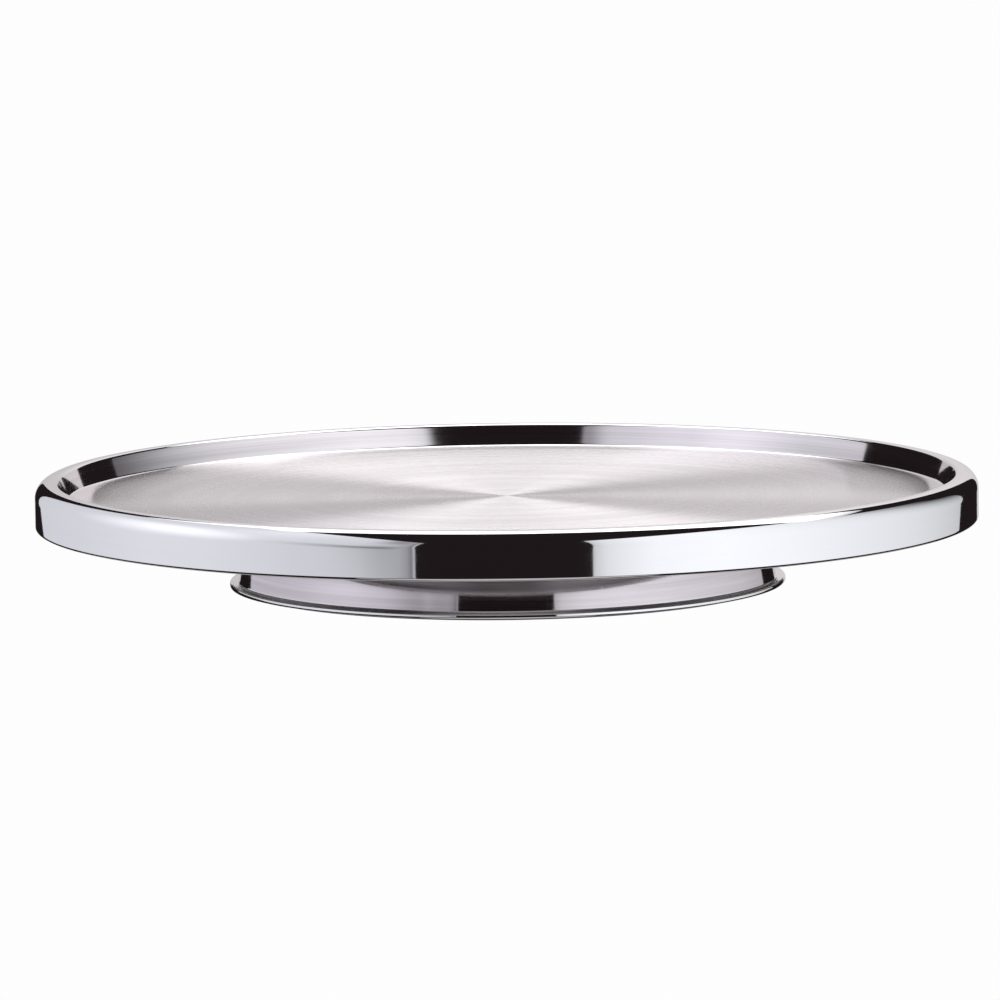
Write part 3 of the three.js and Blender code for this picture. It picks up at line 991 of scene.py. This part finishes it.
@dataclass
class Fixings:
    """The rivet that closes the bearing, its bush, and the eight pan-head screws."""

    wardrobe: Wardrobe
    shank_radius: float = 4.0
    lower_head_radius: float = 7.0
    lower_head_height: float = 1.2
    upper_head_radius: float = 6.5
    upper_head_height: float = 1.1
    bush_bore: float = 4.06
    bush_outer: float = 5.46
    bush_flange_radius: float = 7.5
    bush_flange: float = 0.6
    screw_radius: float = 2.0
    thread_pitch: float = 0.7
    thread_depth: float = 0.32
    head_radius: float = 3.8
    head_height: float = 2.4
    head_rim: float = 1.1
    recess_length: float = 4.4
    recess_width: float = 0.9
    recess_depth: float = 1.3
    recess_flare: float = 1.18
    recess_taper: float = 0.62
    recess_clear: float = 0.3
    lower_dome_rim: float = 0.5
    upper_dome_rim: float = 0.4
    bush_edge: float = 0.12
    head_edge: float = 0.12
    thread_start: float = 0.3
    thread_end: float = 0.5
    tip_inset: float = 0.45
    screw_crease: float = 40.0
    steps: int = 96
    screw_steps: int = 48

    def rivet(self) -> None:
        """Makes the rivet. Each head is a flat dome: height * (1 - (r / radius)^4)^(1/2) past its rim."""
        bottom, top = heights("pivot_rivet")
        under, head = bottom + self.lower_head_height, top - self.upper_head_height
        a = np.linspace(0, 1, 17)
        bulge = np.sqrt(1 - a**4)
        lower_z = under - self.lower_dome_rim - (self.lower_head_height - self.lower_dome_rim) * bulge
        upper_z = head + self.upper_dome_rim + (self.upper_head_height - self.upper_dome_rim) * bulge
        lower = np.stack([a * self.lower_head_radius, lower_z], axis=1)
        upper = np.stack([a * self.upper_head_radius, upper_z], axis=1)
        radii = (self.lower_head_radius, self.shank_radius, self.shank_radius, self.upper_head_radius)
        shank = np.stack([radii, (under, under, head, head)], axis=1)
        obj = spin("closing_rivet", chain(lower, shank, upper[::-1]), self.steps)
        self.wardrobe.dress(obj, "base", "pivot_rivet", "plated_steel", Finish.ZINC_PLATE)

    def bush(self) -> None:
        """Makes the flanged nylon bush round the rivet."""
        bottom, top = heights("pivot_bush")
        bore, outer, flange, shoulder = self.bush_bore, self.bush_outer, self.bush_flange_radius, top - self.bush_flange
        outline = [(bore, bottom), (outer, bottom), (outer, shoulder), (flange, shoulder), (flange, top), (bore, top)]
        obj = spin("flanged_bush", eased(outline, self.bush_edge), self.steps)
        self.wardrobe.dress(obj, "turntable", "pivot_bush", "nylon", Finish.NYLON)

    def screw(self, name: str, length: float) -> Piece:
        """A pan-head screw with a tapered cross recess, head down, its bearing face at height 0.

        The head is rim + rise * (1 - (r / radius)^3)^(1/2) deep. The thread is a row of ridges, one each pitch.

        Args:
            name: Its name.
            length: Length of the shank.

        Returns:
            The screw, on the axis.
        """
        a = np.linspace(0, 1, 15)
        rise = self.head_height - self.head_rim
        head = np.stack([a * self.head_radius, -self.head_rim - rise * np.sqrt(1 - a**3)], axis=1)
        turns = round((length - self.thread_start - self.thread_end) / self.thread_pitch)
        z = np.linspace(self.thread_start, length - self.thread_end, 2 * turns + 1)
        wave = np.arange(len(z)) % 2
        thread = np.stack([self.screw_radius - self.thread_depth * wave, z], axis=1)
        edge, radius = self.head_edge, self.head_radius
        section = chain(
            head,
            np.array([[radius, -edge], [radius - edge, 0.0], [self.screw_radius, 0.0]]),
            thread,
            np.array([[self.screw_radius - self.tip_inset, length], [0.0, length]]),
        )
        long, wide = self.recess_length / 2, self.recess_width / 2
        arm = [(long, -wide), (long, wide), (wide, wide)]
        quarters = ((1, 0), (0, 1), (-1, 0), (0, -1))
        cross = np.array([(x * c - y * s, x * s + y * c) for c, s in quarters for x, y in arm])
        top, bottom = -self.head_height - self.recess_clear, self.recess_depth - self.head_height
        mouth = np.insert(cross * self.recess_flare, 2, top, axis=1)
        floor = np.insert(cross * self.recess_taper, 2, bottom, axis=1)
        return cut(spin(name, section, self.screw_steps), prisms("driver", mouth, floor, np.zeros((1, 3))))

    def screws(self) -> None:
        """Makes and places the four screws of each circle."""
        for body, kind, places in (("turntable", "upper", UPPER_SCREWS), ("base", "lower", LOWER_SCREWS)):
            for number, place in enumerate(places, start=1):
                node = f"{kind}_screw_{number}"
                low, high = heights(node)
                seat = low + self.head_height
                obj = placed(self.screw(f"pan_{node}", high - seat), place, seat)
                self.wardrobe.dress(obj, body, node, "screw_steel", Finish.SCREW_STEEL, crease=self.screw_crease)

    def build(self) -> None:
        """Makes every fixing."""
        self.rivet()
        self.bush()
        self.screws()


# ---- studio


def stage_sheet(name: str, corners: Sequence[Point], material: Material) -> Piece:
    """A flat sheet of the studio, which casts no shadow.

    Args:
        name: Its name.
        corners: Its four corners.
        material: Its material.

    Returns:
        The sheet.
    """
    obj = surface(name, np.array(corners), [[0, 1, 2, 3]])
    obj.data.materials.append(material)
    obj.visible_shadow = False
    return obj


@dataclass(frozen=True)
class LightPanel:
    """A flat sheet of diffused light, seen only in reflections."""

    name: str
    corners: Sequence[Point]
    stops: Sequence[Pair]
    tint: Colour
    low: float = 1.0
    high: float = 1.0
    edge: float = 0.0
    spots: Sequence[tuple[float, float, float, float, float]] = ()

    def build(self) -> None:
        """Makes the sheet. Its light follows the stops along its length, u, and runs from low to high up it, v.

        The upper edge fades over the share edge. Each spot (u0, v0, a, b, gain) adds gain where the distance
        ((u - u0)^2 / a^2 + (v - v0)^2 / b^2)^(1/2) is small.
        """
        made, g = new_material(self.name)
        along, up, _ = g.split(g.add("ShaderNodeTexCoord").outputs["UV"])
        strength = g.math("MULTIPLY", g.spread(up, 0.0, 1.0, self.low, self.high), g.ramp(along, self.stops))
        for u0, v0, wide, tall, gain in self.spots:
            u = g.math("DIVIDE", g.math("SUBTRACT", along, u0), wide)
            v = g.math("DIVIDE", g.math("SUBTRACT", up, v0), tall)
            far = g.math("SQRT", g.math("ADD", g.math("MULTIPLY", u, u), g.math("MULTIPLY", v, v)))
            strength = g.math("ADD", strength, g.spread(far, 0.0, 1.0, gain, 0.0))
        if self.edge:
            strength = g.math("MULTIPLY", strength, g.spread(up, 1.0 - self.edge, 1.0, 1.0, 0.0))
        strength = g.math("MAXIMUM", strength, 0.0)
        light = g.add("ShaderNodeEmission", {"Color": rgba(self.tint), "Strength": strength})
        g.add("ShaderNodeOutputMaterial", {"Surface": light.outputs[0]})
        obj = stage_sheet(self.name, self.corners, made)
        obj.data.uv_layers.new(name="Sheet").data.foreach_set("uv", [0, 0, 1, 0, 1, 1, 0, 1])
        obj.visible_camera = False


@dataclass
class Studio:
    """The pale table, the sheets of light, the dark room and the camera."""

    table_side: float = 24.0
    table_tone: float = 0.985
    table_drop: float = 5e-5
    room: Colour = (0.014, 0.010, 0.011)
    distance: float = 2.5025
    elevation: float = 7.207
    roll: float = -0.717
    lens: float = 278.13
    aim: Point = (-0.002177, 0.0, 0.027486)
    orbit_height: float = 0.01582
    low_back: float = 0.25
    low_front: float = 0.4
    low_tilt: float = 50.0
    low_spread: float = 60.0
    low_tint: Colour = (1.0, 0.96, 0.965)
    panels: Sequence[LightPanel] = ()

    def table(self) -> None:
        """Makes the table top: pale from above, and clear from below and in reflections."""
        made, g = new_material("Pale table")
        tone, half, z = self.table_tone, self.table_side / 2, -self.table_drop
        pale = g.add("ShaderNodeEmission", {"Color": (tone, tone, tone, 1.0)})
        clear = g.add("ShaderNodeBsdfTransparent")
        below = g.add("ShaderNodeNewGeometry").outputs["Backfacing"]
        shown = g.add("ShaderNodeMixShader", {0: below, 1: pale.outputs[0], 2: clear.outputs[0]})
        g.add("ShaderNodeOutputMaterial", {"Surface": shown.outputs[0]})
        corners = [(-half, -half, z), (half, -half, z), (half, half, z), (-half, half, z)]
        stage_sheet("table_top", corners, made).visible_glossy = False

    def surroundings(self) -> None:
        """Makes the world: pale to the camera, and a dim room in reflections."""
        world = bpy.data.worlds.new("Studio")
        bpy.context.scene.world = world
        world.use_nodes = True
        g = Graph(world.node_tree)
        seen = g.add("ShaderNodeLightPath").outputs["Is Camera Ray"]
        tone = self.table_tone
        colour = g.mix(seen, self.room, (tone, tone, tone))
        light = g.add("ShaderNodeBackground", {"Color": colour})
        g.add("ShaderNodeOutputWorld", {"Surface": light.outputs[0]})

    def lamps_below(self) -> None:
        """Adds two soft lamps under the clear side of the table, for the satin underside."""
        tilt = math.radians(self.low_tilt)
        for name, side, energy in (("low_back_lamp", 1.0, self.low_back), ("low_front_lamp", -1.0, self.low_front)):
            data = bpy.data.lights.new(name, "SUN")
            data.energy, data.angle, data.color = energy, math.radians(self.low_spread), self.low_tint
            obj = bpy.data.objects.new(name, data)
            bpy.context.scene.collection.objects.link(obj)
            source = Vector((0.0, side * math.cos(tilt), -math.sin(tilt)))
            obj.matrix_world = source.to_track_quat("Z", "Y").to_matrix().to_4x4()

    def camera(self) -> None:
        """Places the camera over the table's near side, with a slight roll."""
        tilt, roll = math.radians(self.elevation), math.radians(self.roll)
        place = Vector((0.0, -math.cos(tilt), math.sin(tilt))) * self.distance + Vector((0, 0, self.orbit_height))
        forward = (Vector(self.aim) - place).normalized()
        right = forward.cross(Vector((0, 0, 1))).normalized()
        up = right.cross(forward)
        across = right * math.cos(roll) + up * math.sin(roll)
        upward = up * math.cos(roll) - right * math.sin(roll)
        data = bpy.data.cameras.new("Camera")
        data.lens, data.sensor_width = self.lens, 36.0
        data.clip_start, data.clip_end = 0.05, 60.0
        obj = bpy.data.objects.new("Camera", data)
        bpy.context.scene.collection.objects.link(obj)
        obj.matrix_world = Matrix.Translation(place) @ Matrix((across, upward, -forward)).transposed().to_4x4()
        bpy.context.scene.camera = obj

    def build(self) -> None:
        """Makes the whole studio."""
        self.table()
        self.surroundings()
        for panel in self.panels:
            panel.build()
        self.lamps_below()
        self.camera()
        bpy.context.scene.view_settings.view_transform = "Standard"


LEFT_SHEET = LightPanel(
    "left_sheet",
    ((-0.45, -1.20, -0.26), (-0.246, 0.235, 0.0), (-0.246, 0.235, 0.58), (-0.45, -1.20, 0.85)),
    stops=(
        (0.0, 0.30), (0.02, 0.55), (0.05, 0.20), (0.11, 0.34), (0.25, 0.48), (0.43, 0.63),
        (0.60, 0.69), (0.72, 0.79), (0.78, 0.80), (0.86, 0.73), (1.0, 0.66),
    ),
    tint=(0.985, 0.985, 1.06),
    low=0.98,
    high=1.12,
    edge=0.04,
    spots=((0.78, 0.36, 0.14, 0.26, 0.38), (0.40, 0.33, 0.30, 0.20, -0.38), (0.28, 0.85, 0.22, 0.35, -0.25)),
)
RIGHT_SHEET = LightPanel(
    "right_sheet",
    ((0.36, -1.05, -0.26), (0.625, 0.65, -0.07), (0.625, 0.65, 0.52), (0.36, -1.05, 0.80)),
    stops=(
        (0.0, 0.62), (0.07, 0.82), (0.23, 1.03), (0.37, 1.08), (0.47, 1.02), (0.58, 0.91),
        (0.71, 0.79), (0.81, 0.70), (1.0, 0.57),
    ),
    tint=(0.985, 0.995, 1.035),
    edge=0.05,
    spots=((1.0, 0.8, 0.42, 0.75, -0.60),),
)
BACK_SHEET = LightPanel(
    "back_sheet",
    ((-0.30, 0.97, -0.25), (0.36, 0.86, -0.25), (0.36, 0.86, 0.90), (-0.30, 0.97, 0.90)),
    stops=((0.0, 0.92), (0.5, 1.0), (0.7, 1.12), (1.0, 1.12)),
    tint=(1.0, 0.955, 0.975),
    low=0.54,
    high=0.88,
)
OVERHEAD_SHEET = LightPanel(
    "overhead_sheet",
    ((-0.34, 0.05, 0.52), (0.60, 0.00, 0.52), (0.40, 0.44, 0.52), (-0.36, 0.60, 0.52)),
    stops=((0.0, 0.9), (0.12, 1.4), (0.3, 2.0), (0.75, 2.0), (0.92, 1.3), (1.0, 0.6)),
    tint=(1.0, 0.985, 0.99),
)


# ---- everything in order


def main() -> None:
    """Builds the turntable and the studio."""
    logging.basicConfig(level=logging.INFO, format="%(name)s %(message)s")
    wardrobe = Wardrobe()
    for part in (Tray(wardrobe), Base(wardrobe), Bearing(wardrobe), Fixings(wardrobe)):
        part.build()
        log.info("%s is built", type(part).__name__)
    Studio(panels=(LEFT_SHEET, RIGHT_SHEET, BACK_SHEET, OVERHEAD_SHEET)).build()


if __name__ == "__main__":
    main()
